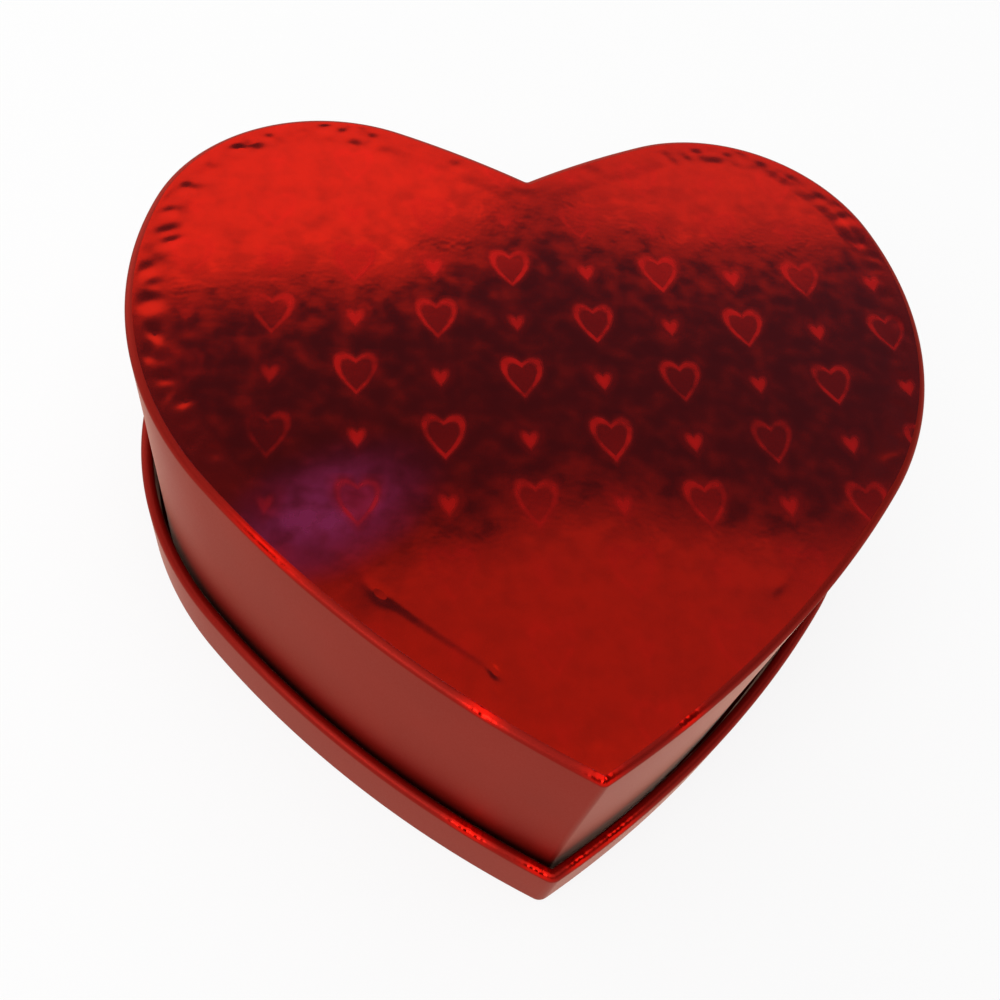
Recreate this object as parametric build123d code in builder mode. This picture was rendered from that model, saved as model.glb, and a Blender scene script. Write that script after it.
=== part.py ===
from build123d import *
import os
from math import atan2, cos, degrees, radians, sin, sqrt

# Heart-shaped gift box of foil-covered greyboard: a deep lid that drops into a shallow, wider tray.
# Millimetres, +Z up. The heart's point is towards -Y, and the origin is under the middle of the tray.

os.makedirs("parts", exist_ok=True)

# Sheet stock
board = 1.6
rim_board = 1.9
foil = 0.25
paper = 0.2

# Half of the lid's outline, as tangent arcs from the notch round to the point, turns in degrees
notch_heading = 31.0
crown_radius = 180.0
crown_turn = 9.0
lobe_radius = 34.7
lobe_turn = 93.8
shoulder_radius = 68.5
shoulder_turn = 57.2
side_radius = 210.0

# Lid
lid_height = 57.0
lid_edge_bevel = 0.9
lid_tip_land = 0.6
lid_notch_radius = 0.8
lid_hem = 10.0
top_sheet_margin = 0.5
tape_width = 16.0

# Tray
tray_height = 15.4
lid_gap = 0.8
tray_lip_bevel = 0.35
tray_tip_radius = 2.4
tray_notch_radius = 0.8
liner_gap = 0.3
bottom_sheet_margin = 3.2

# Tabs that the side foil is snipped into, where it is turned over a panel
tab_land = 1.0
lid_tab_length = 4.1
lid_tab_pitch = 8.0
lid_flap_pitch = 25.0
lid_tab_gap = 2.4
tray_tab_root = 2.0
tray_tab_length = 6.0
tray_tab_pitch = 12.0
tray_flap_pitch = 25.0
tray_tab_gap = 4.0

# Folds, slits and cuts
crease_radius = 0.3
strip_slit = 0.4
overrun = 1.0
bevel_limit_share = 0.9
lip_limit_share = 1.5
cut_reach_share = 1.8

# Levels, from the table up
tray_foil_z = paper
tray_board_z = tray_foil_z + foil
tray_floor_z = tray_board_z + board
lid_foot_z = tray_floor_z + paper
lid_top_z = lid_foot_z + lid_height
lid_tab_z = lid_top_z - 2 * foil
lid_board_z = lid_tab_z - board
ceiling_z = lid_board_z - paper
hem_top_z = lid_foot_z + lid_hem

# The top panel's edge is rubbed down before wrapping, and the foil's bevel runs parallel to it.
# The lip's edge is left square, so only the foil is bevelled there.
lip = rim_board + 2 * foil
lid_bevel = min(lid_edge_bevel, board * bevel_limit_share)
board_bevel = lid_bevel - foil * (2 - sqrt(2))
lip_bevel = min(tray_lip_bevel, foil * lip_limit_share)

# Insets of the layers from the outside of the lid and of the tray
wall_inside = foil + board
tray_reach = lid_gap + lip
lid_tip_radius = lid_bevel + lid_tip_land
lid_tab_root = lid_bevel + tab_land
lid_turn_in = lid_tab_root + lid_tab_length
tray_turn_in = tray_tab_root + tray_tab_length


def chain_arcs(start, heading, arcs):
    """Centres and end angles of clockwise arcs laid end to end from start, each tangent to the last."""
    placed = []
    x, y = start
    for radius, turn in arcs:
        centre = (x + radius * sin(radians(heading)), y - radius * cos(radians(heading)))
        heading = heading - turn
        x = centre[0] - radius * sin(radians(heading))
        y = centre[1] + radius * cos(radians(heading))
        placed.append((centre, heading + 90))
    return placed


side_turn = 0
outline_arcs = [
    (crown_radius, crown_turn),
    (lobe_radius, lobe_turn),
    (shoulder_radius, shoulder_turn),
    (side_radius, side_turn),
]
from_notch = chain_arcs((0, 0), notch_heading, outline_arcs)

# The tray's own length, from the top of its lobes to its rounded point, sets the origin
lobe_top = from_notch[1][0][1] + lobe_radius + tray_reach
side_x, side_y = from_notch[3][0]
tip_drop = sqrt((side_radius + tray_reach - tray_tip_radius) ** 2 - side_x**2)
point_bottom = side_y - tip_drop - tray_tip_radius
notch_y = -(lobe_top + point_bottom) / 2
placed_arcs = chain_arcs((0, notch_y), notch_heading, outline_arcs)


def trace_half_heart(grow, tip_radius, notch_radius):
    """Right half of a heart that runs `grow` outside the lid's outline, from notch to point."""
    (crown, crown_end), (lobe, lobe_end), (shoulder, shoulder_end), (side, side_start) = placed_arcs
    notch_rise = sqrt((crown_radius + grow + notch_radius) ** 2 - crown[0] ** 2)
    crown_start = degrees(atan2(notch_rise, -crown[0]))
    tip_fall = sqrt((side_radius + grow - tip_radius) ** 2 - side[0] ** 2)
    side_end = degrees(atan2(-tip_fall, -side[0]))
    return [
        CenterArc((0, crown[1] + notch_rise), notch_radius, -90, crown_start - 90),
        CenterArc(crown, crown_radius + grow, crown_start, crown_end - crown_start),
        CenterArc(lobe, lobe_radius + grow, crown_end, lobe_end - crown_end),
        CenterArc(shoulder, shoulder_radius + grow, lobe_end, shoulder_end - lobe_end),
        CenterArc(side, side_radius + grow, side_start, side_end - side_start),
        CenterArc((0, side[1] - tip_fall), tip_radius, side_end, -90 - side_end),
    ]


class Heart(BaseSketchObject):
    """Whole heart, parallel to the lid's outline."""

    def __init__(self, grow, tip_radius, notch_radius, mode=Mode.ADD):
        with BuildSketch() as heart:
            with BuildLine():
                trace_half_heart(grow, tip_radius, notch_radius)
                mirror(about=Plane.YZ)
            make_face()
        super().__init__(obj=heart.sketch, mode=mode)


def lid_sizes(inset):
    """Growth, point radius and notch radius of a heart that lies `inset` inside the lid's foil."""
    return -inset, max(lid_tip_radius - inset, crease_radius), lid_notch_radius + inset


def tray_sizes(inset):
    """Growth, point radius and notch radius of a heart that lies `inset` inside the tray's foil."""
    return tray_reach - inset, max(tray_tip_radius - inset, crease_radius), tray_notch_radius + inset


class Snips(BaseSketchObject):
    """Inside of a turned-in foil edge, with the V cuts that part it into tabs that lie flat.

    The lobes and shoulders are cut into narrow tabs, the flatter crowns and sides into long flaps.
    """

    def __init__(self, edge_sizes, inner_sizes, root, reach, tab_pitch, flap_pitch, gap, mode=Mode.ADD):
        with BuildLine():
            notch, crown, lobe, shoulder, side, tip = trace_half_heart(*edge_sizes)
        places = [Location((0, (notch @ 0).Y), 0), Location((0, (tip @ 1).Y), 180)]
        for arc, pitch in [(crown, flap_pitch), (lobe, tab_pitch), (shoulder, tab_pitch), (side, flap_pitch)]:
            count = max(round(arc.length / pitch), 1)
            for step in range(count):
                share = (step + 0.5) / count
                point, along = arc @ share, arc % share
                places.append(Location((point.X, point.Y), degrees(atan2(along.Y, along.X))))
        deep = root + (reach - root) * cut_reach_share
        half = gap / 2 * cut_reach_share
        with BuildSketch() as snips:
            with Locations(*places):
                Polygon((0, -root), (-half, -deep), (half, -deep), align=None)
            mirror(about=Plane.YZ)
            Heart(*inner_sizes)
        super().__init__(obj=snips.sketch, mode=mode)


# Tray: bottom panel
with BuildPart() as tray_board:
    with BuildSketch(Plane.XY.offset(tray_board_z)):
        Heart(*tray_sizes(foil))
    extrude(amount=board)
tray_board.part.label = "tray_board"
export_step(tray_board.part, "parts/tray_board.step")

# Tray: low rim, a strip bent round the panel with its ends butted at the notch
with BuildPart() as rim_band:
    with BuildSketch(Plane.XY.offset(tray_floor_z)):
        Heart(*tray_sizes(foil))
        Heart(*tray_sizes(foil + rim_board), mode=Mode.SUBTRACT)
    extrude(amount=tray_height - foil - tray_floor_z)

with BuildPart() as tray_rim_strip:
    add(rim_band.part)
    with BuildSketch(Plane.XY.offset(tray_floor_z)):
        with Locations((0, notch_y)):
            Rectangle(strip_slit, 2 * lobe_radius)
    extrude(amount=tray_height, mode=Mode.SUBTRACT)
tray_rim_strip.part.label = "tray_rim_strip"
export_step(tray_rim_strip.part, "parts/tray_rim_strip.step")

# Tray: foil up the outside, over the lip and down to the floor, snipped and turned under the panel
with BuildPart() as tray_side_foil:
    with BuildSketch(Plane.XY.offset(tray_foil_z)):
        Heart(*tray_sizes(0))
    extrude(amount=tray_height - tray_foil_z)
    with BuildSketch(Plane.XY.offset(tray_floor_z)):
        Heart(*tray_sizes(lip))
    extrude(amount=tray_height, mode=Mode.SUBTRACT)
    chamfer(edges().group_by(Axis.Z)[-1], length=lip_bevel)
    add(tray_board.part, mode=Mode.SUBTRACT)
    add(rim_band.part, mode=Mode.SUBTRACT)
    with BuildSketch(Plane.XY.offset(tray_board_z)):
        Snips(
            tray_sizes(0),
            tray_sizes(tray_turn_in),
            tray_tab_root,
            tray_turn_in,
            tray_tab_pitch,
            tray_flap_pitch,
            tray_tab_gap,
        )
    extrude(amount=-foil - overrun, mode=Mode.SUBTRACT)
tray_side_foil.part.label = "tray_side_foil"
export_step(tray_side_foil.part, "parts/tray_side_foil.step")

# Tray: sheet over the tabs underneath, which the box stands on
with BuildPart() as tray_bottom_sheet:
    with BuildSketch():
        Heart(*tray_sizes(bottom_sheet_margin))
    extrude(amount=paper)
tray_bottom_sheet.part.label = "tray_bottom_sheet"
export_step(tray_bottom_sheet.part, "parts/tray_bottom_sheet.step")

# Tray: white paper on the floor
with BuildPart() as tray_floor_liner:
    with BuildSketch(Plane.XY.offset(tray_floor_z)):
        Heart(*tray_sizes(lip + liner_gap))
    extrude(amount=paper)
tray_floor_liner.part.label = "tray_floor_liner"
export_step(tray_floor_liner.part, "parts/tray_floor_liner.step")

# Lid: top panel, with its upper edge rubbed down
with BuildPart() as lid_top_board:
    with BuildSketch(Plane.XY.offset(lid_board_z)):
        Heart(*lid_sizes(foil))
    extrude(amount=board)
    chamfer(edges().group_by(Axis.Z)[-1], length=board_bevel)
lid_top_board.part.label = "lid_top_board"
export_step(lid_top_board.part, "parts/lid_top_board.step")

# Lid: wall, a strip bent to the heart with its ends butted at the notch
with BuildPart() as lid_wall_strip:
    with BuildSketch(Plane.XY.offset(lid_foot_z + foil)):
        Heart(*lid_sizes(foil))
        Heart(*lid_sizes(wall_inside), mode=Mode.SUBTRACT)
        with Locations((0, notch_y)):
            Rectangle(strip_slit, 2 * lobe_radius, mode=Mode.SUBTRACT)
    extrude(amount=lid_board_z - lid_foot_z - foil)
lid_wall_strip.part.label = "lid_wall_strip"
export_step(lid_wall_strip.part, "parts/lid_wall_strip.step")

# Lid: plain foil round the wall, hemmed up inside the foot, snipped and turned over the top panel
with BuildPart() as lid_side_foil:
    with BuildSketch(Plane.XY.offset(lid_foot_z)):
        Heart(*lid_sizes(0))
    extrude(amount=lid_tab_z + foil - lid_foot_z)
    chamfer(edges().group_by(Axis.Z)[-1], length=lid_bevel)
    with BuildSketch(Plane.XY.offset(lid_foot_z + foil)):
        Heart(*lid_sizes(foil))
    extrude(amount=lid_board_z - lid_foot_z - foil, mode=Mode.SUBTRACT)
    add(lid_top_board.part, mode=Mode.SUBTRACT)
    with BuildSketch(Plane.XY.offset(lid_foot_z)):
        Heart(*lid_sizes(wall_inside))
    extrude(amount=foil, mode=Mode.SUBTRACT)
    with BuildSketch(Plane.XY.offset(lid_foot_z)):
        Heart(*lid_sizes(wall_inside))
        Heart(*lid_sizes(wall_inside + foil), mode=Mode.SUBTRACT)
    extrude(amount=lid_hem)
    with BuildSketch(Plane.XY.offset(lid_tab_z)):
        Snips(
            lid_sizes(0),
            lid_sizes(lid_turn_in),
            lid_tab_root,
            lid_turn_in,
            lid_tab_pitch,
            lid_flap_pitch,
            lid_tab_gap,
        )
    extrude(amount=foil + overrun, mode=Mode.SUBTRACT)
lid_side_foil.part.label = "lid_side_foil"
export_step(lid_side_foil.part, "parts/lid_side_foil.step")

# Lid: patterned foil sheet over the tabs on top
with BuildPart() as lid_top_foil:
    with BuildSketch(Plane.XY.offset(lid_tab_z + foil)):
        Heart(*lid_sizes(lid_bevel + top_sheet_margin))
    extrude(amount=foil)
lid_top_foil.part.label = "lid_top_foil"
export_step(lid_top_foil.part, "parts/lid_top_foil.step")

# Lid: white paper under the top panel
with BuildPart() as lid_ceiling_liner:
    with BuildSketch(Plane.XY.offset(ceiling_z)):
        Heart(*lid_sizes(wall_inside))
    extrude(amount=paper)
lid_ceiling_liner.part.label = "lid_ceiling_liner"
export_step(lid_ceiling_liner.part, "parts/lid_ceiling_liner.step")

# Lid: white paper round the inside of the wall, from the hem to the ceiling, open at the notch
with BuildPart() as lid_wall_liner:
    with BuildSketch(Plane.XY.offset(hem_top_z)):
        Heart(*lid_sizes(wall_inside))
        Heart(*lid_sizes(wall_inside + paper), mode=Mode.SUBTRACT)
        with Locations((0, notch_y)):
            Rectangle(tape_width, 2 * lobe_radius, mode=Mode.SUBTRACT)
    extrude(amount=ceiling_z - hem_top_z)
lid_wall_liner.part.label = "lid_wall_liner"
export_step(lid_wall_liner.part, "parts/lid_wall_liner.step")

# Lid: paper tape over the butted ends of the wall, folded round the notch inside
with BuildPart() as lid_joint_tape:
    with BuildSketch(Plane.XY.offset(hem_top_z)):
        Heart(*lid_sizes(wall_inside))
        Heart(*lid_sizes(wall_inside + paper), mode=Mode.SUBTRACT)
        with Locations((0, notch_y)):
            Rectangle(tape_width, 2 * lobe_radius, mode=Mode.INTERSECT)
    extrude(amount=ceiling_z - hem_top_z)
lid_joint_tape.part.label = "lid_joint_tape"
export_step(lid_joint_tape.part, "parts/lid_joint_tape.step")
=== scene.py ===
from math import radians

import bpy
import numpy as np
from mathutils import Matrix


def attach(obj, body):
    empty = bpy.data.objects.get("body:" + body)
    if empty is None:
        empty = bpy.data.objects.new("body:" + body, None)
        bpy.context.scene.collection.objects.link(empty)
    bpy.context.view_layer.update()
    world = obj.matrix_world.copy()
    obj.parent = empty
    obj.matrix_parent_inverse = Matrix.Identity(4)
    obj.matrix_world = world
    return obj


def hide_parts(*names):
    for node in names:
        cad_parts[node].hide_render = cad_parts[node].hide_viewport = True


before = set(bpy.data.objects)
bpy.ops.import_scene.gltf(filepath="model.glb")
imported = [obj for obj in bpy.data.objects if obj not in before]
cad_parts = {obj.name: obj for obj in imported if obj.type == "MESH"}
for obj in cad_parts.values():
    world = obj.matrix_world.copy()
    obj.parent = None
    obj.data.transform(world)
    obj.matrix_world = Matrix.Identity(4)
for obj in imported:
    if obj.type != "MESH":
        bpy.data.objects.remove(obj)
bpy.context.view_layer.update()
mm = 0.001

# Greyboard of the tray: a heart-shaped bottom panel and a low strip bent round it. The board is pulped waste
# paper, rolled and left raw, and stays hidden under the foil except inside the snips underneath.


def srgb(code):
    """Linear RGBA of an sRGB hex colour: a channel c is ((c + 0.055) / 1.055)^2.4, or c / 12.92 if dark."""
    c = np.array([int(code[i : i + 2], 16) for i in (1, 3, 5)]) / 255
    linear = np.where(c <= 0.04045, c / 12.92, ((c + 0.055) / 1.055) ** 2.4)
    return (*linear.tolist(), 1.0)


def add_node(tree, kind, *inputs, named=None, **settings):
    """Adds one node. Inputs fill its sockets in order or by name: a socket is linked, a number is set."""
    node = tree.nodes.new(kind)
    for name, value in settings.items():
        setattr(node, name, value)
    for key, value in [*enumerate(inputs), *(named or {}).items()]:
        if isinstance(value, bpy.types.NodeSocket):
            tree.links.new(value, node.inputs[key])
        elif value is not None:
            node.inputs[key].default_value = value
    return node


def new_material(name):
    """An empty node material, its node tree and its output node."""
    material = bpy.data.materials.new(name)
    material.use_nodes = True
    material.node_tree.nodes.clear()
    return material, material.node_tree, material.node_tree.nodes.new("ShaderNodeOutputMaterial")


# Raw greyboard: matt, warm grey, with darker fibres about 3 mm long and a felted face of 0.5 mm lumps
greyboard, tree, output = new_material("raw_greyboard")
place = add_node(tree, "ShaderNodeTexCoord").outputs["Object"]
fibre_length, felt_size = 3.0, 0.5
fibres = add_node(
    tree,
    "ShaderNodeTexNoise",
    named={"Vector": place, "Scale": 1 / (fibre_length * mm), "Detail": 6.0, "Roughness": 0.7},
)
shade = add_node(tree, "ShaderNodeValToRGB", fibres.outputs["Fac"])
shade.color_ramp.elements[0].position, shade.color_ramp.elements[0].color = 0.34, srgb("#7E766B")
shade.color_ramp.elements[1].position, shade.color_ramp.elements[1].color = 0.66, srgb("#B0A797")
felt = add_node(
    tree, "ShaderNodeTexNoise", named={"Vector": place, "Scale": 1 / (felt_size * mm), "Detail": 3.0}
)
lumps = add_node(
    tree, "ShaderNodeBump", named={"Strength": 0.35, "Distance": 0.05 * mm, "Height": felt.outputs["Fac"]}
)
surface = add_node(
    tree,
    "ShaderNodeBsdfPrincipled",
    named={"Base Color": shade.outputs["Color"], "Roughness": 0.92, "Normal": lumps.outputs["Normal"]},
)
tree.links.new(surface.outputs["BSDF"], output.inputs["Surface"])
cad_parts["tray_board"].data.materials.clear()
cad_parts["tray_board"].data.materials.append(greyboard)

# Foil of the tray: one plain red foil up the outside, rolled over the rounded lip, glued down the inside and
# turned in on the floor by a narrow margin. Below, it is snipped into tabs and turned under the panel. It
# puckers where it is mitred at the point.

board, rim_board, foil, paper = 1.6, 1.9, 0.25, 0.2
crown_radius, lobe_radius, shoulder_radius, side_radius = 180.0, 34.7, 68.5, 210.0
notch_heading, crown_turn, lobe_turn, shoulder_turn = 31.0, 9.0, 93.8, 57.2
crease_radius, lid_gap = 0.3, 0.8
lip = rim_board + 2 * foil
tray_reach = lid_gap + lip
tray_point_radius, tray_notch_radius = 2.4, 0.8
arc_columns = (8, 60, 130, 140, 230, 12)
side_crowding = 0.62


def arc_centres():
    """Centres and end angles of the crown, lobe, shoulder and side arcs, each tangent to the one before.

    A clockwise arc that starts at p with heading h has its centre at p + r (sin h, -cos h). The chain starts
    in the notch, and is then moved so that the tray, from its lobes to its point, is centred on the origin.
    """
    start, heading, placed = np.zeros(2), radians(notch_heading), []
    turns = (crown_turn, lobe_turn, shoulder_turn, 0.0)
    for radius, turn in zip((crown_radius, lobe_radius, shoulder_radius, side_radius), turns):
        centre = start + radius * np.array([np.sin(heading), -np.cos(heading)])
        heading = heading - radians(turn)
        start = centre + radius * np.array([-np.sin(heading), np.cos(heading)])
        placed.append((centre, heading + np.pi / 2))
    top = placed[1][0][1] + lobe_radius + tray_reach
    side = placed[3][0]
    fall = np.sqrt((side_radius + tray_reach - tray_point_radius) ** 2 - side[0] ** 2)
    middle = (top + side[1] - fall - tray_point_radius) / 2
    return [(centre - [0, middle], end) for centre, end in placed]


def column_shares():
    """How far along its arc each column lies, arc by arc, the side's columns crowded towards the point."""
    shares = [np.arange(count) / count for count in arc_columns]
    shares[4] = shares[4] * (1 + side_crowding * (1 - shares[4]))
    shares[5] = np.append(shares[5], 1.0)
    return shares


def heart_points(inset, reach, point_radius, notch_radius):
    """Points and outward normals of hearts that lie `inset` inside one that runs `reach` outside the lid.

    Inset is an array of rows by columns. Each half is six arcs: a fillet in the notch, the four arcs of
    arc_centres with `reach - inset` added to their radii, and a fillet at the point. A point on an arc is
    its centre plus radius times (cos a, sin a), with a running from the arc's start to its end by the shares
    of column_shares. The other half is the mirror image, in reverse order.
    """
    (crown, crown_end), (lobe, lobe_end), (shoulder, shoulder_end), (side, side_start) = arc_centres()
    shares = column_shares()
    edges = np.cumsum([0] + [len(s) for s in shares])
    half = edges[-1]
    inset = np.broadcast_to(inset, (inset.shape[0], 2 * half - 2))
    halves = []
    for columns in (inset[:, :half], np.concatenate([inset[:, :1], inset[:, : half - 2 : -1]], axis=1)):
        parts = [columns[:, a:b] for a, b in zip(edges[:-1], edges[1:])]
        point = [np.maximum(point_radius - p, crease_radius) for p in parts]
        notch = [notch_radius + p for p in parts]
        grow = [reach - p for p in parts]
        rise = [np.sqrt((crown_radius + g + n) ** 2 - crown[0] ** 2) for g, n in zip(grow, notch)]
        crown_start = [np.arctan2(r, -crown[0]) for r in rise]
        fall = [np.sqrt((side_radius + g - p) ** 2 - side[0] ** 2) for g, p in zip(grow, point)]
        side_end = [np.arctan2(-f, -side[0]) for f in fall]
        zero = [np.zeros_like(p) for p in parts]
        runs = [
            (zero[0], crown[1] + rise[0], notch[0], zero[0] - np.pi / 2, crown_start[0] - np.pi, -1),
            (zero[1] + crown[0], crown[1], crown_radius + grow[1], crown_start[1], crown_end, 1),
            (zero[2] + lobe[0], lobe[1], lobe_radius + grow[2], crown_end, lobe_end, 1),
            (zero[3] + shoulder[0], shoulder[1], shoulder_radius + grow[3], lobe_end, shoulder_end, 1),
            (zero[4] + side[0], side[1], side_radius + grow[4], side_start, side_end[4], 1),
            (zero[5], side[1] - fall[5], point[5], side_end[5], zero[5] - np.pi / 2, 1),
        ]
        points, normals = [], []
        for (cx, cy, radius, first, last, facing), share in zip(runs, shares):
            angle = np.broadcast_to(first + (last - first) * share, cx.shape)
            ray = np.stack([np.cos(angle), np.sin(angle)], -1)
            points.append(np.stack([cx + radius * ray[..., 0], cy + radius * ray[..., 1]], -1))
            normals.append(facing * ray)
        halves.append((np.concatenate(points, 1), np.concatenate(normals, 1)))
    mirror = np.array([-1.0, 1.0])
    return [np.concatenate([right, left[:, -2:0:-1] * mirror], 1) for right, left in zip(*halves)]


def along_outline(reach, point_radius, notch_radius):
    """Distance of each column from the point along the outline, plus to the right and minus to the left."""
    points, _ = heart_points(np.zeros((1, 1)), reach, point_radius, notch_radius)
    half = points.shape[1] // 2 + 1
    steps = np.linalg.norm(np.diff(points[0, :half], axis=0), axis=1)
    run = np.concatenate([[0], np.cumsum(steps)])
    return np.concatenate([run[-1] - run, run[-2:0:-1] - run[-1]])


def snip_places(run, tab_pitch, flap_pitch):
    """Where the turned-in edge is cut, as distances from the point along the outline.

    It is cut in the notch and at the point. Lobes and shoulders are cut every tab_pitch or so, evenly within
    an arc, the flat sides every flap_pitch, counted from the point, and the short crowns once, in the middle.
    """
    half = len(run) // 2 + 1
    edges = np.cumsum([0] + list(arc_columns))
    notch, crown, lobe, shoulder, side = run[np.minimum(edges, half - 1)][:5]
    places = [[notch, 0.0, (crown + lobe) / 2], np.arange(flap_pitch, side - tab_pitch / 2, flap_pitch)]
    for a, b in ((lobe, shoulder), (shoulder, side)):
        count = round((a - b) / tab_pitch)
        places.append(a + (b - a) * (np.arange(count) + 0.5) / count)
    right = np.sort(np.concatenate(places))
    return np.concatenate([-right[:0:-1], right])


def arc_profile(inset, height, width, rise, first, last, count):
    """A rounded fold: points (inset - width cos a, height + rise sin a), from first to last angle."""
    angle = np.radians(np.linspace(first, last, count))
    return np.stack([inset - width * np.cos(angle), height + rise * np.sin(angle)], 1)


def line_profile(start, end, count):
    """Points from start to end, both included, as (inset, height)."""
    share = np.linspace(0, 1, count)[:, None]
    return np.array(start) * (1 - share) + np.array(end) * share


def mesh_object(name, points, quads, material, caps=()):
    """A smooth mesh object from points in millimetres and arrays of quads, with triangle fans as caps."""
    faces = [*quads.tolist(), *[f for cap in caps for f in cap.tolist()]]
    mesh = bpy.data.meshes.new(name)
    mesh.from_pydata((points * mm).tolist(), [], faces)
    mesh.polygons.foreach_set("use_smooth", np.ones(len(faces), bool))
    mesh.materials.append(material)
    mesh.update()
    piece = bpy.data.objects.new(name, mesh)
    bpy.context.scene.collection.objects.link(piece)
    return piece


def grid_quads(rows, columns, ring):
    """Quads of a grid whose columns run round in a closed loop, and whose rows do too if ring is true."""
    r = np.arange(rows if ring else rows - 1)[:, None]
    c = np.arange(columns)[None, :]
    here, up = r * columns, (r + 1) % rows * columns
    right = (c + 1) % columns
    return np.stack([here + c, up + c, up + right, here + right], -1).reshape(-1, 4)


def bells(run, places, widths):
    """How much the foil is crinkled, 0 to 1: a bell exp(-((run - place) / width)^2) at each place."""
    return np.clip(sum(np.exp(-(((run - p) / w) ** 2)) for p, w in zip(places, widths)), 0, 1)


def puckers(run, crinkle, depth, rows, seed):
    """Depth of small puckers: crinkle times a mean of sines a few mm long, which drift from row to row."""
    rng = np.random.default_rng(seed)
    lengths = np.array([1.1, 1.7, 2.6, 3.9])
    phase = rng.uniform(0, 2 * np.pi, 4)
    drift = rng.uniform(0.15, 0.5, 4)
    row = np.arange(rows)[:, None, None]
    waves = np.sin(2 * np.pi * run[None, :, None] / lengths + phase + drift * row).mean(-1)
    return depth * crinkle * (0.5 + 0.5 * waves)


def set_attribute(piece, name, value, chosen_rows, shape):
    """Stores a value on the chosen rows of points as an attribute, 0 on all others."""
    points = np.zeros(len(piece.data.vertices))
    grid = points[: np.prod(shape)].reshape(shape)
    grid[chosen_rows] = value
    piece.data.attributes.new(name, "FLOAT", "POINT").data.foreach_set("value", points)


tray_height, tray_floor_z, tray_foil_z = 15.4, paper + foil + board, paper
tray_lip_radius, tray_foot_radius = lip / 2, 0.3
tray_lip_z = tray_height - tray_lip_radius
tray_wall_low, tray_wall_high, tray_inner_high = 1.2, tray_lip_z - 0.4, tray_height - 1.7
liner_top_z, floor_margin, paste_gap = tray_floor_z + paper, 0.7, 0.01
fold_high, fold_middle, fold_low, fold_in = 0.25, 0.12, 0.06, 0.05
tray_tab_root, tray_tab_end, tray_tab_gap = 2.0, 8.0, 4.0
tray_tab_pitch, tray_flap_pitch = 12.0, 25.0
tray_run = along_outline(tray_reach, tray_point_radius, tray_notch_radius)
tray_snips = snip_places(tray_run, tray_tab_pitch, tray_flap_pitch)


def tab_edge(run, snips, root, end, gap):
    """Inset of the turned-in edge: `end` on a tab, and a V down to just past `root` at each snip."""
    away = np.abs(run[:, None] - snips).min(1)
    return end - (end - root - 0.05) * np.clip(1 - away / (gap / 2), 0, 1)


tray_outside = np.concatenate(
    [
        arc_profile(
            tray_foot_radius, tray_foil_z + tray_foot_radius, tray_foot_radius, tray_foot_radius, -90, 0, 5
        ),
        line_profile((0, tray_wall_low), (0, tray_wall_high), 9),
        arc_profile(lip / 2, tray_lip_z, tray_lip_radius, tray_lip_radius, 0, 180, 19),
        line_profile((lip, tray_inner_high), (lip, liner_top_z + fold_high), 5),
        [(lip + fold_in, liner_top_z + fold_middle), (lip + floor_margin, liner_top_z + fold_low)],
        [(lip + floor_margin, liner_top_z + paste_gap), (lip, liner_top_z + paste_gap), (lip, tray_floor_z)],
    ]
)
core_radius = tray_lip_radius - foil
core_outside = np.concatenate(
    [
        [(lip - foil, tray_floor_z)],
        arc_profile(lip / 2, tray_lip_z, core_radius, core_radius, 180, 0, 13),
    ]
)
tray_inside = np.concatenate([core_outside, [(foil, tray_foil_z + foil)]])
turned = np.linspace(0, 1, 6)[:, None]
tray_edge = tab_edge(tray_run, tray_snips, tray_tab_root, tray_tab_end, tray_tab_gap)
tray_under = tray_tab_root + (tray_edge - tray_tab_root) * turned
tray_inset = np.concatenate(
    [
        tray_under[::-1],
        np.broadcast_to(tray_outside[:, :1], (len(tray_outside), len(tray_run))),
        np.broadcast_to(tray_inside[:, :1], (len(tray_inside), len(tray_run))),
        tray_under,
    ]
)
tray_heights = np.concatenate(
    [
        np.full(len(turned), tray_foil_z),
        tray_outside[:, 1],
        tray_inside[:, 1],
        np.full(len(turned), tray_foil_z + foil),
    ]
)
tray_plan, tray_outward = heart_points(tray_inset, tray_reach, tray_point_radius, tray_notch_radius)
tray_levels = np.broadcast_to(tray_heights[:, None, None], (*tray_inset.shape, 1))
tray_points = np.concatenate([tray_plan, tray_levels], -1)
outer_rows = np.arange(len(tray_heights)) < len(turned) + len(tray_outside)
lip_rows = np.flatnonzero((tray_heights > tray_height - 1.3) & outer_rows)
crinkle_places, crinkle_widths = (-3.5, -17.5, 6.0, 15.0), (3.0, 4.0, 2.5, 5.0)
crinkle_depth, crinkle_fade, pucker_depth, pucker_in = 1.0, 0.5, 0.22, 0.4
tray_crinkle = bells(tray_run, crinkle_places, crinkle_widths)
tray_crinkle = tray_crinkle * np.clip(
    (tray_heights[lip_rows, None] - tray_height + crinkle_depth) / crinkle_fade, 0, 1
)
tray_pucker = puckers(tray_run, tray_crinkle, pucker_depth, len(lip_rows), 3)
tray_points[lip_rows, :, 2] -= tray_pucker
tray_points[lip_rows, :, :2] -= tray_outward[lip_rows] * tray_pucker[..., None] * pucker_in

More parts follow.
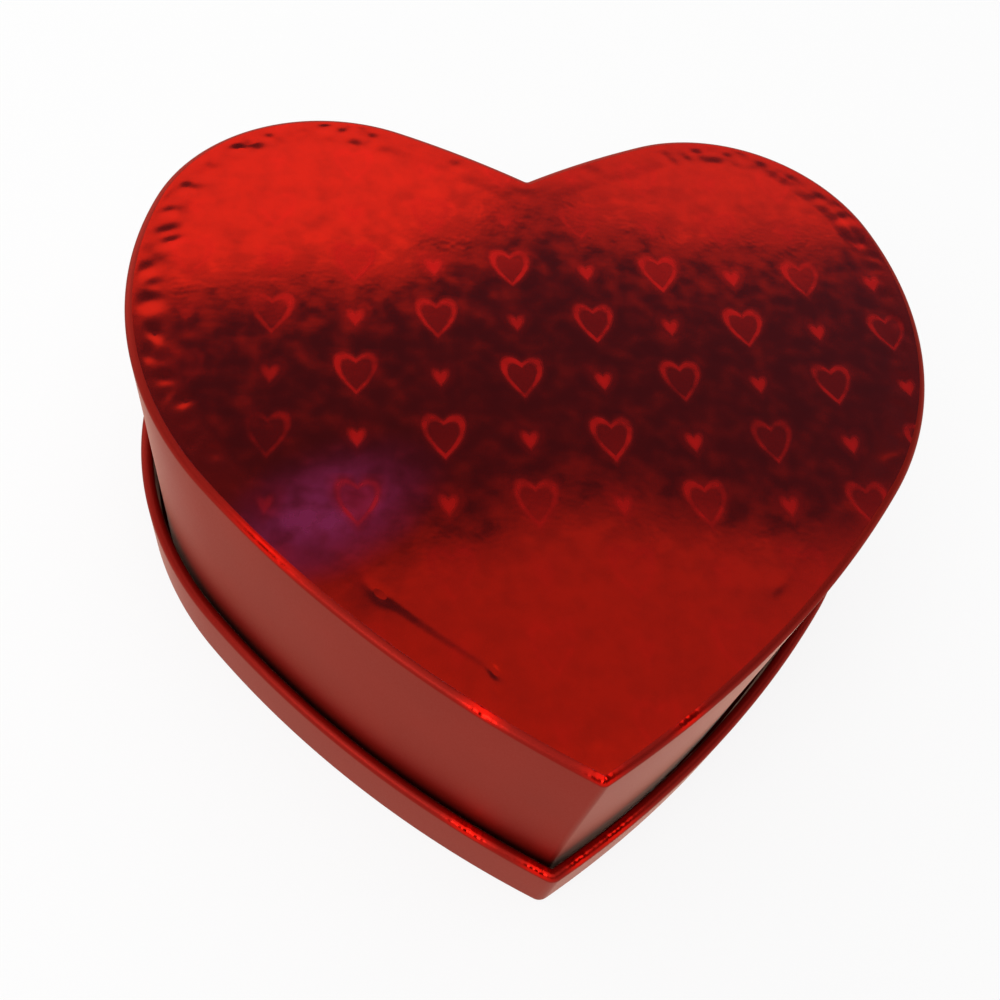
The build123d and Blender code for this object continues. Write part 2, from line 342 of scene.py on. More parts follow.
# Plain red metallised foil: lacquered film on paper. The metal tints all it mirrors red, the paper behind
# gives it a satin blur, and the dyed lacquer scatters a little like paint. At a slant it has a pale haze.
# Where the foil is crinkled it is glossy and glints, and a brighter red is painted into its colour there as a
# painted glint.
red_foil, tree, output = new_material("plain_red_metallised_foil")
place = add_node(tree, "ShaderNodeTexCoord").outputs["Object"]
wave_length, grain_size = 14.0, 0.35
waves = add_node(
    tree, "ShaderNodeTexNoise", named={"Vector": place, "Scale": 1 / (wave_length * mm), "Detail": 2.0}
)
grain = add_node(
    tree, "ShaderNodeTexNoise", named={"Vector": place, "Scale": 1 / (grain_size * mm), "Detail": 2.0}
)
wavy = add_node(
    tree, "ShaderNodeBump", named={"Strength": 0.2, "Distance": 0.2 * mm, "Height": waves.outputs["Fac"]}
)
grainy = add_node(
    tree,
    "ShaderNodeBump",
    named={
        "Strength": 0.12,
        "Distance": 0.02 * mm,
        "Height": grain.outputs["Fac"],
        "Normal": wavy.outputs["Normal"],
    },
)
tint = add_node(
    tree,
    "ShaderNodeMix",
    data_type="RGBA",
    named={"Factor": waves.outputs["Fac"], "A": srgb("#84140E"), "B": srgb("#901710")},
).outputs["Result"]
blur = add_node(
    tree, "ShaderNodeMapRange", grain.outputs["Fac"], named={"To Min": 0.36, "To Max": 0.48}
).outputs["Result"]
crinkle_and_painted_glint = add_node(tree, "ShaderNodeAttribute", attribute_name="crinkle").outputs["Fac"]
blur = add_node(
    tree, "ShaderNodeMix", data_type="FLOAT", named={"Factor": crinkle_and_painted_glint, "A": blur, "B": 0.2}
).outputs["Result"]
# Where crinkled, the colour is also painted a brighter red (#D8180E): a painted glint, besides the real gloss
tint = add_node(
    tree, "ShaderNodeMix", data_type="RGBA", named={"Factor": crinkle_and_painted_glint, "A": tint, "B": srgb("#D8180E")}
).outputs["Result"]
bare = add_node(
    tree, "ShaderNodeMapRange", crinkle_and_painted_glint, named={"To Min": 0.68, "To Max": 1.0}
).outputs["Result"]
surface = add_node(
    tree,
    "ShaderNodeBsdfPrincipled",
    named={
        "Base Color": tint,
        "Metallic": bare,
        "Roughness": blur,
        "Normal": grainy.outputs["Normal"],
        "Specular IOR Level": 0.3,
        "Specular Tint": (0.85, 0.53, 0.41, 1.0),
        "Sheen Weight": 0.5,
        "Sheen Roughness": 0.14,
        "Sheen Tint": (1.0, 0.6, 0.45, 1.0),
    },
)
tree.links.new(surface.outputs["BSDF"], output.inputs["Surface"])
tray_wrap = mesh_object(
    "tray_foil_wrap", tray_points.reshape(-1, 3), grid_quads(*tray_inset.shape, True), red_foil
)
# The crinkle attribute also tells the foil's material where to paint its brighter red painted glint
set_attribute(tray_wrap, "crinkle", tray_crinkle, lip_rows, tray_inset.shape)
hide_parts("tray_side_foil")
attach(tray_wrap, "tray")

# Rim of the tray: the low greyboard strip inside that foil, bent round the panel with its ends butted in
# the notch. Its upper edge is rubbed round, which gives the lip its full, soft shape.
core_profile = np.concatenate([core_outside, [(foil, tray_floor_z)]])
core_inset = np.broadcast_to(core_profile[:, :1], (len(core_profile), len(tray_run)))
core_plan, _ = heart_points(core_inset, tray_reach, tray_point_radius, tray_notch_radius)
core_levels = np.broadcast_to(core_profile[:, 1, None, None], (*core_inset.shape, 1))
core_points = np.concatenate([core_plan, core_levels], -1)
rim_core = mesh_object(
    "tray_rim_core", core_points[::-1].reshape(-1, 3), grid_quads(*core_inset.shape, True), greyboard
)
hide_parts("tray_rim_strip")
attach(rim_core, "tray")

# Papers of the tray: a white lining sheet on the floor inside, and a sheet under the box that hides the
# tabs. Both are uncoated wood-free paper, cut to the heart and pasted flat.

# White uncoated paper: matt, faintly cloudy where fibres lie thicker, with a fine tooth
white_paper, tree, output = new_material("white_uncoated_paper")
place = add_node(tree, "ShaderNodeTexCoord").outputs["Object"]
cloud_size, tooth_size = 6.0, 0.4
clouds = add_node(
    tree, "ShaderNodeTexNoise", named={"Vector": place, "Scale": 1 / (cloud_size * mm), "Detail": 5.0}
)
shade = add_node(tree, "ShaderNodeValToRGB", clouds.outputs["Fac"])
shade.color_ramp.elements[0].position, shade.color_ramp.elements[0].color = 0.3, srgb("#EBE8E1")
shade.color_ramp.elements[1].position, shade.color_ramp.elements[1].color = 0.7, srgb("#F2EFE9")
tooth = add_node(
    tree, "ShaderNodeTexNoise", named={"Vector": place, "Scale": 1 / (tooth_size * mm), "Detail": 3.0}
)
toothed = add_node(
    tree, "ShaderNodeBump", named={"Strength": 0.25, "Distance": 0.03 * mm, "Height": tooth.outputs["Fac"]}
)
surface = add_node(
    tree,
    "ShaderNodeBsdfPrincipled",
    named={"Base Color": shade.outputs["Color"], "Roughness": 0.88, "Normal": toothed.outputs["Normal"]},
)
tree.links.new(surface.outputs["BSDF"], output.inputs["Surface"])
for name in ("tray_floor_liner", "tray_bottom_sheet"):
    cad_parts[name].data.materials.clear()
    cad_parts[name].data.materials.append(white_paper)

# Greyboard of the lid: a top panel with its upper edge rubbed down, and a deep strip bent round under it,
# its ends butted in the notch. Same raw board as the tray.
for name in ("lid_top_board", "lid_wall_strip"):
    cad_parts[name].data.materials.clear()
    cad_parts[name].data.materials.append(greyboard)

# Foil of the lid's side: the same plain foil in one band, hemmed up inside the foot, pulled up the wall,
# rolled over the rubbed edge of the panel, and snipped into tabs that lie flat under the top sheet.
lid_point_radius, lid_notch_radius = 1.5, 0.8
lid_foot_z, lid_height, hem_height = liner_top_z, 57.0, 10.0
lid_tab_top_z = lid_foot_z + lid_height - foil
lid_board_top_z = lid_tab_top_z - foil
lid_edge_width, lid_edge_radius, lid_foot_radius, lid_board_bevel = 1.4, 1.0, 0.35, 0.75
wall_inside = foil + board
hem_top_z = lid_foot_z + hem_height
hem_inside = wall_inside + foil
lid_fold_z, lid_edge_z = lid_foot_z + lid_foot_radius, lid_tab_top_z - lid_edge_radius
lid_wall_low, lid_wall_high = lid_foot_z + 1.0, lid_edge_z - 0.5
lid_flat_start, lid_flat_end = 1.55, 1.7
lid_tab_root, lid_tab_end, lid_tab_gap = 1.9, 6.0, 2.4
lid_tab_pitch, lid_flap_pitch, lid_tab_droop = 8.0, 22.0, 0.12
lid_run = along_outline(0.0, lid_point_radius, lid_notch_radius)
lid_snips = snip_places(lid_run, lid_tab_pitch, lid_flap_pitch)
lid_outside = np.concatenate(
    [
        line_profile((hem_inside, hem_top_z), (hem_inside, lid_wall_low), 4),
        arc_profile(hem_inside - lid_foot_radius, lid_fold_z, lid_foot_radius, lid_foot_radius, 180, 270, 4),
        arc_profile(lid_foot_radius, lid_fold_z, lid_foot_radius, lid_foot_radius, -90, 0, 4),
        line_profile((0, lid_wall_low), (0, lid_wall_high), 22),
        arc_profile(lid_edge_width, lid_edge_z, lid_edge_width, lid_edge_radius, 0, 90, 13),
        line_profile((lid_flat_start, lid_tab_top_z), (lid_flat_end, lid_tab_top_z), 2),
    ]
)
lid_edge = tab_edge(lid_run, lid_snips, lid_tab_root, lid_tab_end, lid_tab_gap)
lid_over = lid_tab_root + (lid_edge - lid_tab_root) * turned
lid_inside = np.array(
    [
        (foil + lid_board_bevel, lid_board_top_z),
        (foil, lid_board_top_z - lid_board_bevel),
        (foil, lid_foot_z + foil),
        (wall_inside, lid_foot_z + foil),
        (wall_inside, hem_top_z),
    ]
)
lid_inset = np.concatenate(
    [
        np.broadcast_to(lid_outside[:, :1], (len(lid_outside), len(lid_run))),
        lid_over,
        lid_over[::-1],
        np.broadcast_to(lid_inside[:, :1], (len(lid_inside), len(lid_run))),
    ]
)
lid_heights = np.concatenate(
    [
        lid_outside[:, 1],
        lid_tab_top_z - lid_tab_droop * turned[:, 0],
        np.full(len(turned), lid_board_top_z),
        lid_inside[:, 1],
    ]
)
lid_plan, lid_outward = heart_points(lid_inset, 0.0, lid_point_radius, lid_notch_radius)
lid_levels = np.broadcast_to(lid_heights[:, None, None], (*lid_inset.shape, 1))
lid_points = np.concatenate([lid_plan, lid_levels], -1)
outer_rows = np.arange(len(lid_heights)) < len(lid_outside)
edge_rows = np.flatnonzero((lid_heights > lid_tab_top_z - 1.6) & outer_rows)
# Where these bells crinkle the edge, the material also paints it a brighter red: a painted glint
crinkle_places, crinkle_widths = (0.0, -20.5, 17.0, -63.0), (3.2, 3.0, 3.0, 7.0)
crinkle_depth, pucker_depth, pucker_down, pucker_in = 0.9, 0.2, 0.7, 0.6
lid_crinkle = bells(lid_run, crinkle_places, crinkle_widths)
lid_crinkle = lid_crinkle * np.clip(
    (lid_heights[edge_rows, None] - lid_tab_top_z + crinkle_depth) / crinkle_fade, 0, 1
)
lid_pucker = puckers(lid_run, lid_crinkle, pucker_depth, len(edge_rows), 5)
lid_pucker = lid_pucker * np.interp(lid_run, (-54.0, -48.0), (0.35, 1.0))
lid_points[edge_rows, :, 2] -= lid_pucker * pucker_down
lid_points[edge_rows, :, :2] -= lid_outward[edge_rows] * lid_pucker[..., None] * pucker_in
# The pasted wall has shallow waves a few centimetres long, none at its foot and its edge
wave_depth, short_wave, long_wave = 0.05, 7.0, 17.0
wall_rows = np.flatnonzero((lid_inset[:, 0] == 0) & outer_rows)
wall_share = (lid_heights[wall_rows] - lid_foot_z) / (lid_tab_top_z - lid_foot_z)
wall_wave = np.sin(lid_run / short_wave + 4 * wall_share[:, None]) * np.sin(lid_run / long_wave + 1.0)
wall_wave = wave_depth * (1 + wall_wave)
wall_fade = np.clip(4 * np.minimum(wall_share, 1 - wall_share), 0, 1)[:, None]
lid_points[wall_rows, :, :2] -= lid_outward[wall_rows] * (wall_wave * wall_fade)[..., None]
lid_wrap = mesh_object(
    "lid_side_wrap", lid_points.reshape(-1, 3), grid_quads(*lid_inset.shape, True), red_foil
)
set_attribute(lid_wrap, "crinkle", lid_crinkle, edge_rows, lid_inset.shape)
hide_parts("lid_side_foil")
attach(lid_wrap, "lid")

# Top sheet of the lid: holographic red foil with a repeat of small hearts, cut a little smaller than the
# panel and pasted over the tabs. The tabs, snips and long flaps show through it, and paste leaves it wavy.
lid_top_z = lid_tab_top_z + foil
sheet_margin, sheet_sink, sheet_thickness = 1.4, 0.17, 0.12
sheet_clearance, paste_depth, deepest = 0.01, 0.05, 0.1
near_rows = sheet_margin + np.concatenate([[0.0, 0.01], np.linspace(0.25, 9.0, 40)])
middle = np.array([0.0, 4.0])
far_share = (1 - np.linspace(0, 1, 36)[1:-1]) ** 1.1


def smooth_step(value, low, high):
    """0 below low, 1 above high, and the cubic 3 t^2 - 2 t^3 between."""
    t = np.clip((value - low) / (high - low), 0, 1)
    return t * t * (3 - 2 * t)


rows = np.broadcast_to(near_rows[:, None], (len(near_rows), len(lid_run)))
near, _ = heart_points(rows, 0.0, lid_point_radius, lid_notch_radius)
far = middle + (near[-1] - middle) * far_share[:, None, None]
sheet_plan = np.concatenate([near, far])
# How much of a tab lies under each point: full over a tab, none over a snip or past the tab's end. The paste
# and the sheet's own stiffness bridge the steps, so they show as soft pillows. Each tab lifts by its own
# amount, and the long flaps of the flat sides lift little.
rng = np.random.default_rng(11)
middles = (lid_snips[1:] + lid_snips[:-1]) / 2
long_flap = np.diff(lid_snips) > 10.0
lifts = rng.uniform(0.35, 1.0, len(middles)) * np.where(long_flap, 0.25, 1.0)
lifts *= np.interp(middles, (-160.0, -140.0, -60.0, 60.0, 100.0, 140.0), (1.3, 0.6, 0.6, 0.5, 0.5, 1.0))
reaches = lid_tab_end + rng.uniform(-0.7, 0.6, len(middles)) + np.where(long_flap, 0.6, 0.0)
tab_lift = np.interp(lid_run, middles, lifts)
tab_reach = np.interp(lid_run, middles, reaches)
parted = np.exp(-(((lid_run[:, None] - lid_snips) / 1.6) ** 2)).max(1)
past_end = smooth_step(near_rows[:, None], tab_reach - 1.5, tab_reach + 1.5)
under = tab_lift * (1 - past_end) * (1 - 0.7 * parted * smooth_step(near_rows[:, None], 2.5, 4.5))
# Over and between the snips the sheet is pressed in, each dimple with its own place, slant, size and depth
places = np.concatenate([lid_snips, middles[~long_flap]])
offset, across, slant = (rng.uniform(-a, a, len(places)) for a in (1.6, 1.6, 0.7))
length, breadth = rng.uniform(1.2, 2.2, len(places)), rng.uniform(1.2, 2.2, len(places))
deep = rng.uniform(0.03, 0.115, len(places))
zones = (-225.0, -210.0, -165.0, -150.0, -122.0, -116.0, -64.0, -56.0, 56.0, 64.0, 200.0, 225.0)
deep *= np.interp(places, zones, (0.1, 1.0, 1.0, 0.95, 0.95, 1.2, 1.2, 0.15, 0.15, 0.6, 0.6, 0.1))
inward = near_rows[:, None, None] - 4.6 - across
beside = lid_run[:, None] - places - offset - slant * inward
dimples = (deep * np.exp(-((beside / breadth) ** 2) - (inward / length) ** 2)).sum(-1)
dimples *= smooth_step(near_rows[:, None], sheet_margin, sheet_margin + 1.2)
# The flap left of the point was creased along its end, and the sheet is pressed in at both ends of the crease
crease = smooth_step(lid_run, -47.8, -41.3) * (1 - smooth_step(lid_run, -20.4, -17.6))
crease_line = 6.8 + 0.025 * (lid_run + 33.0)
creased = 0.62 * (1 - smooth_step(near_rows[:, None], crease_line - 0.95, crease_line + 0.95))
under = under * (1 - crease) + creased * crease
sink = np.concatenate([1 - under, np.ones((len(far_share), len(lid_run)))])
x, y = sheet_plan[..., 0], sheet_plan[..., 1]
inner = np.concatenate([smooth_step(near_rows, 1.4, 9.0), np.ones(len(far_share))])[:, None]
wave_x, wave_y = x / 9.0 + 1.3 * np.sin(y / 13.0), y / 8.0 + 1.1 * np.sin(x / 15.0) + 0.6
paste = 0.5 + 0.5 * np.sin(wave_x) * np.sin(wave_y)
sheet_z = lid_top_z - sheet_clearance - sheet_sink * np.clip(sink, 0, 1) - paste_depth * paste * inner
sheet_z[: len(near_rows)] -= dimples
for pit_run, pit_inset, pit_width, pit_depth in (
    (-42.7, 6.6, 2.1, 0.15),
    (-19.6, 6.9, 1.5, 0.15),
    (-19.0, 4.4, 0.9, 0.07),
    (45.0, 6.4, 2.4, 0.07),
):
    pit = np.exp(-(((lid_run - pit_run) / pit_width) ** 2) - (near_rows[:, None] - pit_inset) ** 2)
    sheet_z[: len(near_rows)] -= pit_depth * pit
sheet_z = np.maximum(sheet_z, lid_tab_top_z - deepest)
sheet_top = np.concatenate([sheet_plan, sheet_z[..., None]], -1)
columns = len(lid_run)
below_rows = np.array([0, 8, len(near_rows) - 1, len(near_rows) + 12, len(sheet_plan) - 1])
sheet_below = sheet_top[below_rows] - [0, 0, sheet_thickness]
top_pole = np.array([[*middle, sheet_z[-1].mean()]])
below_pole = top_pole - [0, 0, sheet_thickness]
sheet_points = np.concatenate(
    [sheet_below[::-1].reshape(-1, 3), sheet_top.reshape(-1, 3), below_pole, top_pole]
)
sheet_rows = len(below_rows) + len(sheet_plan)
ring = np.arange(columns)
last = (sheet_rows - 1) * columns
poles = len(sheet_points) - np.array([2, 1])
below_cap = np.stack([ring, (ring + 1) % columns, np.full(columns, poles[0])], 1)
top_cap = np.stack([last + (ring + 1) % columns, last + ring, np.full(columns, poles[1])], 1)

# Holographic heart foil: smooth metallised film that mirrors like tinted glass. Its pattern is a fine
# grating pressed into the lacquer, which scatters light from all round, so the hearts glow where the mirror
# is dark. Large outlined and small filled hearts take turns, as on a chequerboard.
heart_foil, tree, output = new_material("holographic_heart_foil")
place = add_node(tree, "ShaderNodeTexCoord").outputs["Object"]
step_across, step_along = 14.6, 13.0
pattern_x, pattern_y = -5.4, 3.0
big_heart, small_heart = 3.2, 1.65
line_width, soft_edge, fill_edge = 0.05, 1.4, 1.2
halo_start, halo_end = 0.6, 2.6
spot = add_node(tree, "ShaderNodeSeparateXYZ", place)
cells = {}
for axis, socket, start, step in (("x", "X", pattern_x, step_across), ("y", "Y", pattern_y, step_along)):
    scaled = add_node(
        tree,
        "ShaderNodeMath",
        spot.outputs[socket],
        1 / (step * mm),
        -start / step,
        operation="MULTIPLY_ADD",
    ).outputs[0]
    cell = add_node(tree, "ShaderNodeMath", scaled, operation="ROUND").outputs[0]
    rest = add_node(tree, "ShaderNodeMath", scaled, cell, operation="SUBTRACT").outputs[0]
    cells[axis] = cell
    cells[axis + "_rest"] = add_node(tree, "ShaderNodeMath", rest, step, operation="MULTIPLY").outputs[0]
count = add_node(tree, "ShaderNodeMath", cells["x"], cells["y"], operation="ADD").outputs[0]
odd = add_node(tree, "ShaderNodeMath", count, 2.0, operation="FLOORED_MODULO").outputs[0]
size = add_node(
    tree, "ShaderNodeMapRange", odd, named={"To Min": big_heart, "To Max": small_heart}
).outputs["Result"]
# Distance from the line of a heart of size s: with a = |x| / s and b = y / s, it is
# s (sqrt(a^2 + (0.95 b + 0.1 - (a^2 + 0.006)^0.3)^2) - 1)
heart_steps = [
    ("side", "ABSOLUTE", "x_rest", None),
    ("a", "DIVIDE", "side", "size"),
    ("b0", "DIVIDE", "y_rest", "size"),
    ("b1", "MULTIPLY", "b0", 0.95),
    ("b", "ADD", "b1", 0.1),
    ("a2", "MULTIPLY", "a", "a"),
    ("rounded", "ADD", "a2", 0.006),
    ("lobe", "POWER", "rounded", 0.3),
    ("drop", "SUBTRACT", "b", "lobe"),
    ("drop2", "MULTIPLY", "drop", "drop"),
    ("square", "ADD", "a2", "drop2"),
    ("ray", "SQRT", "square", None),
    ("unit", "SUBTRACT", "ray", 1.0),
    ("away", "MULTIPLY", "unit", "size"),
    ("line", "ABSOLUTE", "away", None),
]
values = {**cells, "size": size}
for name, operation, first, second in heart_steps:
    terms = [values.get(term, term) for term in (first, second)]
    values[name] = add_node(tree, "ShaderNodeMath", *terms, operation=operation).outputs[0]
outline = add_node(
    tree,
    "ShaderNodeMapRange",
    values["line"],
    interpolation_type="SMOOTHSTEP",
    named={"From Min": line_width, "From Max": line_width + soft_edge, "To Min": 1.0, "To Max": 0.0},
).outputs["Result"]
fill = add_node(
    tree,
    "ShaderNodeMapRange",
    values["away"],
    interpolation_type="SMOOTHSTEP",
    named={"From Min": -fill_edge, "From Max": fill_edge, "To Min": 1.0, "To Max": 0.0},
).outputs["Result"]
halo = add_node(
    tree,
    "ShaderNodeMapRange",
    values["away"],
    interpolation_type="SMOOTHSTEP",
    named={"From Min": halo_start, "From Max": halo_end, "To Min": 1.0, "To Max": 0.0},
).outputs["Result"]
even = add_node(tree, "ShaderNodeMath", 1.0, odd, operation="SUBTRACT").outputs[0]
# The grating is stronger in some hearts than in others, and uneven along their lines
which = add_node(tree, "ShaderNodeCombineXYZ", cells["x"], cells["y"])
chance = add_node(
    tree, "ShaderNodeTexWhiteNoise", which.outputs["Vector"], noise_dimensions="2D"
).outputs["Value"]
strength = add_node(
    tree, "ShaderNodeMapRange", chance, named={"To Min": 0.75, "To Max": 1.0}
).outputs["Result"]
cloud_size, streak_size, speck_size = 8.0, 3.6, 4.2
clouds = add_node(
    tree,
    "ShaderNodeTexNoise",
    named={"Vector": place, "Scale": 1 / (cloud_size * mm), "Detail": 3.0, "Roughness": 0.6},
).outputs["Fac"]
streaks = add_node(
    tree, "ShaderNodeTexNoise", named={"Vector": place, "Scale": 1 / (streak_size * mm), "Detail": 2.0}
).outputs["Fac"]
specks = add_node(
    tree, "ShaderNodeTexNoise", named={"Vector": place, "Scale": 1 / (speck_size * mm), "Detail": 1.0}
).outputs["Fac"]
wear = add_node(
    tree,
    "ShaderNodeMapRange",
    streaks,
    named={"From Min": 0.3, "From Max": 0.65, "To Min": 0.6, "To Max": 1.0},
).outputs["Result"]
speckle = add_node(
    tree,
    "ShaderNodeMapRange",
    specks,
    named={"From Min": 0.34, "From Max": 0.74, "To Min": 0.0, "To Max": 0.4},
).outputs["Result"]
parts = {
    "outline": outline,
    "fill": fill,
    "halo": halo,
    "odd": odd,
    "even": even,
    "strength": strength,
    "wear": wear,
    "speckle": speckle,
}
# The pattern is made fainter towards the lobes, the point and the left edge
band_edges = [("Y", 48.0, 30.0, 0.3), ("Y", -36.0, -24.0, 0.25), ("X", -58.0, -40.0, 0.3)]
for index, (axis, low, high, least) in enumerate(band_edges):
    parts[f"edge{index}"] = add_node(
        tree,
        "ShaderNodeMapRange",
        spot.outputs[axis],
        interpolation_type="SMOOTHSTEP",
        named={"From Min": low * mm, "From Max": high * mm, "To Min": least, "To Max": 1.0},
    ).outputs["Result"]
pattern_steps = [
    ("worn", "MULTIPLY", "outline", "wear"),
    ("big_line", "MULTIPLY", "worn", "even"),
    ("big_fill0", "MULTIPLY", "fill", "even"),
    ("big_fill", "MULTIPLY", "big_fill0", 0.42),
    ("big", "MAXIMUM", "big_line", "big_fill"),
    ("small_fill0", "MULTIPLY", "fill", "odd"),
    ("small_fill", "MULTIPLY", "small_fill0", 0.95),
    ("soft_halo", "MULTIPLY", "halo", 0.28),
    ("small", "MAXIMUM", "small_fill", "soft_halo"),
    ("either", "MAXIMUM", "big", "small"),
    ("band0", "MULTIPLY", "edge0", "edge1"),
    ("band", "MULTIPLY", "band0", "edge2"),
    ("strong", "MULTIPLY", "strength", "band"),
    ("hearts", "MULTIPLY", "either", "strong"),
    ("spotted", "MAXIMUM", "hearts", "speckle"),
]
for name, operation, first, second in pattern_steps:
    terms = [parts.get(term, term) for term in (first, second)]
    parts[name] = add_node(tree, "ShaderNodeMath", *terms, operation=operation).outputs[0]
# Painted violet sheen: one soft patch at the left. The film's view-dependent violet is painted into its
# colour there, and the patch is made a little rougher.
patch_x, patch_y, patch_width, patch_length, patch_turn = -39.0, -23.0, 21.0, 12.0, 30.0
patch_place = add_node(
    tree,
    "ShaderNodeMapping",
    vector_type="TEXTURE",
    named={
        "Vector": place,
        "Location": (patch_x * mm, patch_y * mm, 0.0),
        "Rotation": (0.0, 0.0, radians(patch_turn)),
        "Scale": (patch_width * mm, patch_length * mm, 1.0),
    },
).outputs["Vector"]
patch_away = add_node(tree, "ShaderNodeVectorMath", patch_place, operation="LENGTH").outputs["Value"]
painted_violet_sheen = add_node(
    tree,
    "ShaderNodeMapRange",
    patch_away,
    interpolation_type="SMOOTHSTEP",
    named={"From Min": 0.25, "From Max": 1.1, "To Min": 1.0, "To Max": 0.0},
).outputs["Result"]
over_tabs = add_node(tree, "ShaderNodeAttribute", attribute_name="tabbed").outputs["Fac"]
painted_violet_sheen = add_node(tree, "ShaderNodeMath", painted_violet_sheen, wear, operation="MULTIPLY").outputs[0]
patch_glow = add_node(tree, "ShaderNodeMath", painted_violet_sheen, 0.7, operation="MULTIPLY").outputs[0]
glow = add_node(tree, "ShaderNodeMath", parts["spotted"], patch_glow, operation="MAXIMUM").outputs[0]
ground = add_node(
    tree,
    "ShaderNodeMix",
    data_type="RGBA",
    named={"Factor": wear, "A": srgb("#941405"), "B": srgb("#B01705")},
).outputs["Result"]
# The violet patch is mixed into the ground colour here (#9C2C5A): a painted sheen, not a colour the film has
# under every lamp
ground = add_node(
    tree, "ShaderNodeMix", data_type="RGBA", named={"Factor": painted_violet_sheen, "A": ground, "B": srgb("#9C2C5A")}
).outputs["Result"]
colour = add_node(
    tree,
    "ShaderNodeMix",
    data_type="RGBA",
    named={"Factor": parts["hearts"], "A": ground, "B": srgb("#CC140B")},
).outputs["Result"]
satin = add_node(tree, "ShaderNodeMath", over_tabs, 0.3, operation="MULTIPLY").outputs[0]
scatter = add_node(tree, "ShaderNodeMath", glow, satin, operation="MAXIMUM").outputs[0]
blur = add_node(
    tree, "ShaderNodeMapRange", scatter, named={"To Min": 0.085, "To Max": 0.37}
).outputs["Result"]
ripple = add_node(
    tree, "ShaderNodeBump", named={"Strength": 0.25, "Distance": 0.12 * mm, "Height": clouds}
)
emboss = add_node(
    tree,
    "ShaderNodeBump",
    named={"Strength": 0.15, "Distance": 0.03 * mm, "Height": glow, "Normal": ripple.outputs["Normal"]},
)
surface = add_node(
    tree,
    "ShaderNodeBsdfPrincipled",
    named={
        "Base Color": colour,
        "Metallic": 1.0,
        "Roughness": blur,
        "Normal": emboss.outputs["Normal"],
        "Specular Tint": (1.0, 0.5, 0.45, 1.0),
        "Sheen Weight": 0.09,
        "Sheen Roughness": 0.5,
        "Sheen Tint": (0.75, 0.68, 1.0, 1.0),
    },
)
tree.links.new(surface.outputs["BSDF"], output.inputs["Surface"])
top_sheet = mesh_object(
    "lid_top_sheet", sheet_points, grid_quads(sheet_rows, columns, False), heart_foil, (below_cap, top_cap)
)
tabbed = 1 - smooth_step(near_rows[:, None], 6.0, 9.5)
top_rows = len(below_rows) + np.arange(len(near_rows))
set_attribute(top_sheet, "tabbed", tabbed, top_rows, (sheet_rows, columns))
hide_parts("lid_top_foil")
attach(top_sheet, "lid")

# Papers of the lid: white lining on the ceiling and round the wall down to the hem, and a paper tape folded
# into the notch over the butted ends of the strip.
for name in ("lid_ceiling_liner", "lid_wall_liner", "lid_joint_tape"):
    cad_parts[name].data.materials.clear()
    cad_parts[name].data.materials.append(white_paper)

# Studio: a pale floor, a tall soft light behind the box, a wide one overhead, one in front, and a small one
# at the front left for the edges. The dark gap between the first two is what the middle of the top sheet
# mirrors. Both are made up of panels with stepped edges, so that the mirrored gap is an arch.
floor_paper, tree, output = new_material("pale_floor")
surface = add_node(
    tree,
    "ShaderNodeBsdfPrincipled",
    named={"Base Color": srgb("#F8F8F6"), "Roughness": 0.9, "Specular IOR Level": 0.2},
)
rays = add_node(tree, "ShaderNodeLightPath").outputs
seen = rays["Is Camera Ray"]
for kind in ("Is Glossy Ray", "Is Transmission Ray"):
    seen = add_node(tree, "ShaderNodeMath", seen, rays[kind], operation="MAXIMUM").outputs[0]
lift = add_node(tree, "ShaderNodeMath", seen, 0.85, operation="MULTIPLY").outputs[0]
white = add_node(tree, "ShaderNodeEmission", (1.0, 1.0, 1.0, 1.0), 1.0)
paper_white = add_node(
    tree, "ShaderNodeMixShader", lift, surface.outputs["BSDF"], white.outputs["Emission"]
)
tree.links.new(paper_white.outputs["Shader"], output.inputs["Surface"])
floor_mesh = bpy.data.meshes.new("floor")
floor_mesh.from_pydata([(-6, -6, 0), (6, -6, 0), (6, 6, 0), (-6, 6, 0)], [], [(0, 1, 2, 3)])
floor_mesh.materials.append(floor_paper)
floor = bpy.data.objects.new("floor", floor_mesh)
bpy.context.scene.collection.objects.link(floor)


def soft_light(name, centre, target, width, length, radiance):
    """A rectangular lamp at centre that faces target. Its power is radiance x area x pi."""
    lamp = bpy.data.lights.new(name, "AREA")
    lamp.shape, lamp.size, lamp.size_y = "RECTANGLE", width, length
    lamp.energy = radiance * width * length * np.pi
    holder = bpy.data.objects.new(name, lamp)
    holder.location = centre
    facing = np.array(centre) - np.array(target)
    holder.rotation_mode = "XYZ"
    holder.rotation_euler = (
        np.arctan2(np.hypot(facing[0], facing[1]), facing[2]),
        0.0,
        np.arctan2(facing[0], -facing[1]),
    )
    bpy.context.scene.collection.objects.link(holder)


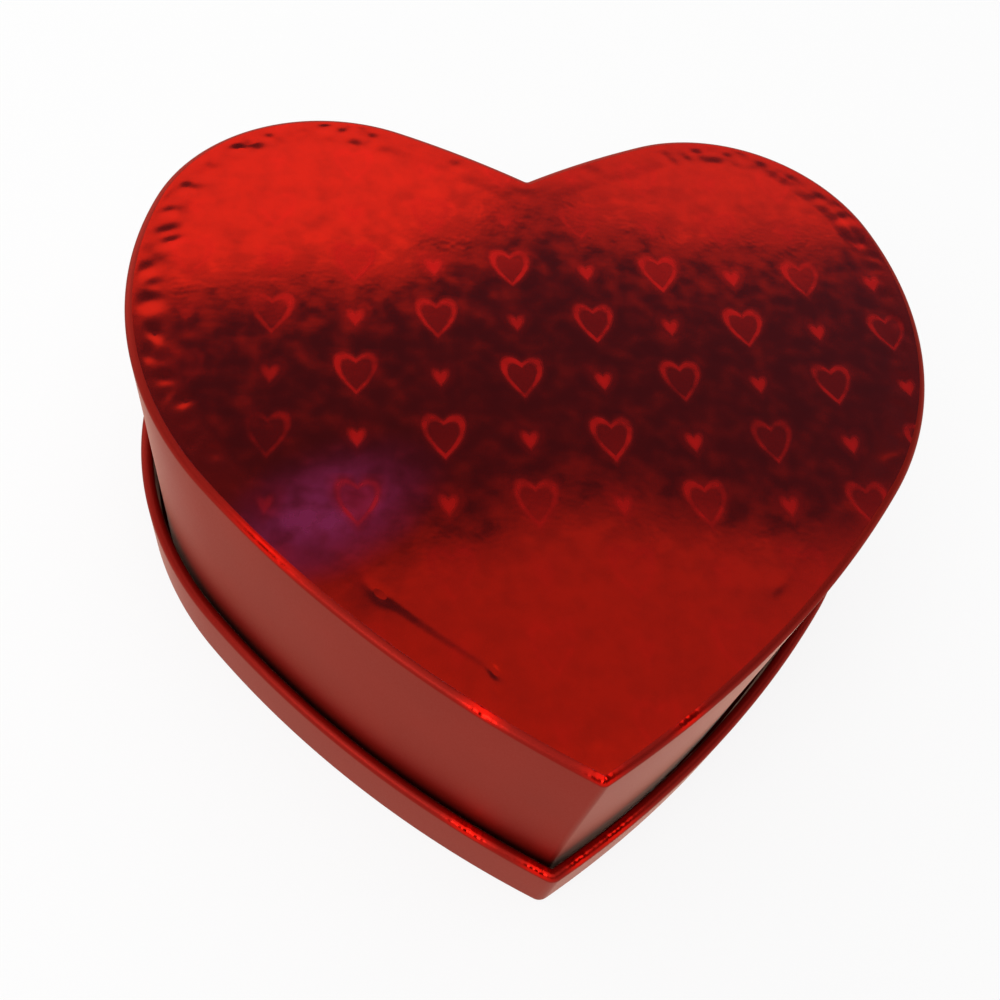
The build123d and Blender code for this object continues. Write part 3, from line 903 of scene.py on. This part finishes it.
back_place = np.array([-0.16, 0.89])
back_along, back_facing = np.array([0.985, 0.173]), np.array([0.173, -0.985])
for name, radiance, low, high, left, right in (
    ("back_left_light", 1.55, 0.24, 0.9, -1.1, 0.39),
    ("back_left_step", 1.55, 0.9, 0.945, -1.1, 0.325),
    ("back_left_top", 1.55, 0.945, 0.995, -1.1, 0.24),
    ("back_right_light", 1.2, 0.24, 0.9, 0.39, 1.1),
    ("back_right_step", 1.2, 0.9, 0.95, 0.46, 1.1),
    ("back_right_top", 1.2, 0.95, 1.01, 0.6, 1.1),
):
    centre = (*(back_place + back_along * (left + right) / 2), (low + high) / 2)
    target = (*(centre[:2] + back_facing), centre[2])
    soft_light(name, centre, target, right - left, high - low, radiance)
top_front, top_z, top_radiance = 0.275, 1.1, 0.6
for name, left, right, back in (
    ("top_far_left_light", -0.8, -0.03, 0.5),
    ("top_left_light", -0.03, 0.06, 0.535),
    ("top_left_step", 0.06, 0.19, 0.563),
    ("top_middle_light", 0.19, 0.37, 0.612),
    ("top_right_step", 0.37, 0.47, 0.585),
    ("top_right_light", 0.47, 1.0, 0.563),
):
    centre = ((left + right) / 2, (top_front + back) / 2, top_z)
    soft_light(name, centre, (*centre[:2], 0.0), right - left, back - top_front, top_radiance)
soft_light("front_light", (-0.2, -0.25, 1.1), (-0.2, -0.25, 0.0), 1.4, 1.0, 1.3)
soft_light("edge_light", (-0.62, -0.5, 0.7), (0.0, 0.0, 0.05), 0.45, 0.4, 4.5)

# The room itself: white walls to a third of the way up, and a dim ceiling
world = bpy.data.worlds.new("studio")
bpy.context.scene.world = world
world.use_nodes = True
tree = world.node_tree
tree.nodes.clear()
output = add_node(tree, "ShaderNodeOutputWorld")
direction = add_node(tree, "ShaderNodeTexCoord").outputs["Generated"]
rise = add_node(tree, "ShaderNodeSeparateXYZ", direction).outputs["Z"]
wall_to_ceiling = add_node(tree, "ShaderNodeValToRGB", rise)
wall_to_ceiling.color_ramp.elements[0].position = 0.36
wall_to_ceiling.color_ramp.elements[0].color = (1.0, 1.0, 1.0, 1.0)
wall_to_ceiling.color_ramp.elements[1].position = 0.56
wall_to_ceiling.color_ramp.elements[1].color = (0.1, 0.1, 0.12, 1.0)
sky = add_node(tree, "ShaderNodeBackground", wall_to_ceiling.outputs["Color"], 1.0)
tree.links.new(sky.outputs["Background"], output.inputs["Surface"])

camera_data = bpy.data.cameras.new("camera")
camera_data.lens, camera_data.sensor_width = 38.926, 36.0
camera_data.clip_start = 0.01
camera = bpy.data.objects.new("camera", camera_data)
camera.location = (-0.039386, -0.113245, 0.207337)
camera.rotation_euler = (radians(32.0347), radians(-7.8649), radians(-4.551))
bpy.context.scene.collection.objects.link(camera)
bpy.context.scene.camera = camera
bpy.context.scene.view_settings.view_transform = "Standard"
